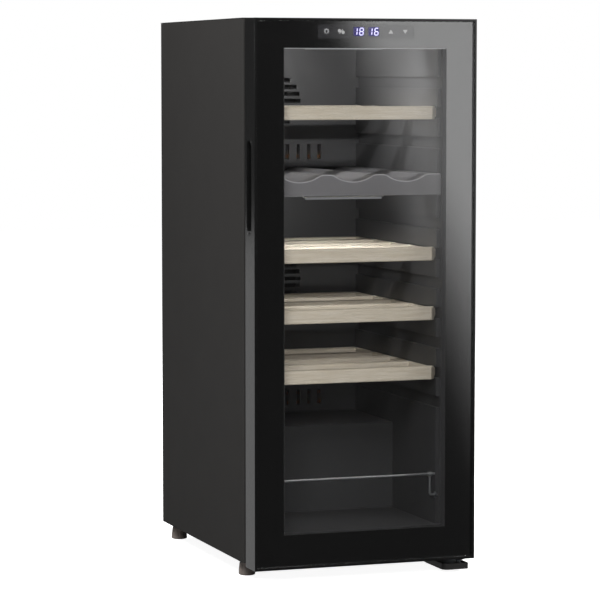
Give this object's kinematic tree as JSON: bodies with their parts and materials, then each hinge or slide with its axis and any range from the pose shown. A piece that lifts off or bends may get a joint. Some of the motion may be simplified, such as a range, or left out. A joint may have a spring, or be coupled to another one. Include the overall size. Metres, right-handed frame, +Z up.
{
  "type": "wine cooler",
  "caption": "Slim free-standing two-zone wine cooler: black glass door with display, hinged at the right, sliding beech shelves, zone divider, guard rail and rear machine compartment.",
  "frame": {"origin": "on the floor under the middle of the whole appliance, spacers and door included", "axes": "+Z up, the door faces -Y, its hinges are on the +X side"},
  "size_m": [0.345, 0.478, 0.822],
  "materials": {
    "side_paint": "matte",
    "zinc": "satin",
    "chrome_wire": "polished",
    "liner_plastic": "satin",
    "door_plastic": "gloss",
    "black_plastic": "satin",
    "divider_plastic": "satin",
    "enamel": "gloss",
    "gasket_rubber": "matte",
    "foot_plastic": "matte",
    "foam": "matte",
    "beech": "satin",
    "fin_aluminium": "satin",
    "compressor_enamel": "satin",
    "copper_pipe": "satin",
    "white_plastic": "satin",
    "display_face": "gloss",
    "clear_glass": "gloss"
  },
  "bodies": {
    "cabinet": {"left_side_panel": "side_paint", "right_side_panel": "side_paint", "top_panel": "side_paint", "back_panel": "side_paint", "base_plate": "side_paint", "inner_liner": "liner_plastic", "foam_insulation": "foam", "zone_divider": "divider_plastic", "upper_duct_cover": "black_plastic", "lower_duct_cover": "black_plastic", "upper_evaporator": "fin_aluminium", "lower_evaporator": "fin_aluminium", "upper_led_bar": "white_plastic", "lower_led_bar": "white_plastic", "upper_sensor": "white_plastic", "lower_sensor": "white_plastic", "guard_rail": "chrome_wire", "top_hinge_bracket": "zinc", "bottom_hinge_bracket": "zinc", "bottom_hinge_cover": "black_plastic", "compartment_sheet": "zinc", "rear_grille": "side_paint", "compressor": "compressor_enamel", "compressor_mount": "zinc", "relay_cover": "black_plastic", "drip_tray": "black_plastic", "condenser": "fin_aluminium", "fan_shroud": "zinc", "discharge_pipe": "copper_pipe", "filter_drier": "copper_pipe", "control_box": "white_plastic", "mains_inlet": "black_plastic", "wall_spacer_left": "black_plastic", "wall_spacer_right": "black_plastic"},
    "door": {"door_frame": "door_plastic", "front_glass": "clear_glass", "printed_border": "enamel", "pane_spacer": "fin_aluminium", "inner_glass": "clear_glass", "door_inner_frame": "black_plastic", "door_gasket": "gasket_rubber", "display_board": "display_face", "grip_insert": "black_plastic", "top_hinge_bush": "white_plastic", "bottom_hinge_bush": "black_plastic"},
    "shelf_1": {"shelf_1_front": "beech", "shelf_1_rack": "beech"},
    "shelf_2": {"shelf_2_front": "beech", "shelf_2_rack": "beech"},
    "shelf_3": {"shelf_3_front": "beech", "shelf_3_rack": "beech"},
    "shelf_4": {"shelf_4_front": "beech", "shelf_4_rack": "beech"},
    "upper_fan": {"upper_fan": "white_plastic"},
    "lower_fan": {"lower_fan": "white_plastic"},
    "condenser_fan": {"condenser_fan": "black_plastic"},
    "foot_front_left": {"foot_front_left": "foot_plastic"},
    "foot_front_right": {"foot_front_right": "foot_plastic"},
    "foot_rear_left": {"foot_rear_left": "foot_plastic"},
    "foot_rear_right": {"foot_rear_right": "foot_plastic"}
  },
  "joints": [
    {"name": "door_hinge", "type": "hinge", "parent": "cabinet", "child": "door", "pos_m": [0.157, -0.214, 0.42], "axis": [0, 0, 1], "range_deg": [0, 110]},
    {"name": "shelf_1_slide", "type": "slide", "parent": "cabinet", "child": "shelf_1", "axis": [0, -1, 0], "range_m": [0, 0.03]},
    {"name": "shelf_2_slide", "type": "slide", "parent": "cabinet", "child": "shelf_2", "axis": [0, -1, 0], "range_m": [0, 0.03]},
    {"name": "shelf_3_slide", "type": "slide", "parent": "cabinet", "child": "shelf_3", "axis": [0, -1, 0], "range_m": [0, 0.03]},
    {"name": "shelf_4_slide", "type": "slide", "parent": "cabinet", "child": "shelf_4", "axis": [0, -1, 0], "range_m": [0, 0.03]},
    {"name": "upper_fan_spin", "type": "hinge", "parent": "cabinet", "child": "upper_fan", "pos_m": [0, 0.1775, 0.6986], "axis": [0, 1, 0], "continuous": true},
    {"name": "lower_fan_spin", "type": "hinge", "parent": "cabinet", "child": "lower_fan", "pos_m": [0, 0.1775, 0.4153], "axis": [0, 1, 0], "continuous": true},
    {"name": "condenser_fan_spin", "type": "hinge", "parent": "cabinet", "child": "condenser_fan", "pos_m": [0.083, 0.1325, 0.0823], "axis": [1, 0, 0], "continuous": true},
    {"name": "foot_front_left_screw", "type": "slide", "parent": "cabinet", "child": "foot_front_left", "axis": [0, 0, -1], "range_m": [0, 0.01]},
    {"name": "foot_front_right_screw", "type": "slide", "parent": "cabinet", "child": "foot_front_right", "axis": [0, 0, -1], "range_m": [0, 0.01]},
    {"name": "foot_rear_left_screw", "type": "slide", "parent": "cabinet", "child": "foot_rear_left", "axis": [0, 0, -1], "range_m": [0, 0.01]},
    {"name": "foot_rear_right_screw", "type": "slide", "parent": "cabinet", "child": "foot_rear_right", "axis": [0, 0, -1], "range_m": [0, 0.01]}
  ]
}
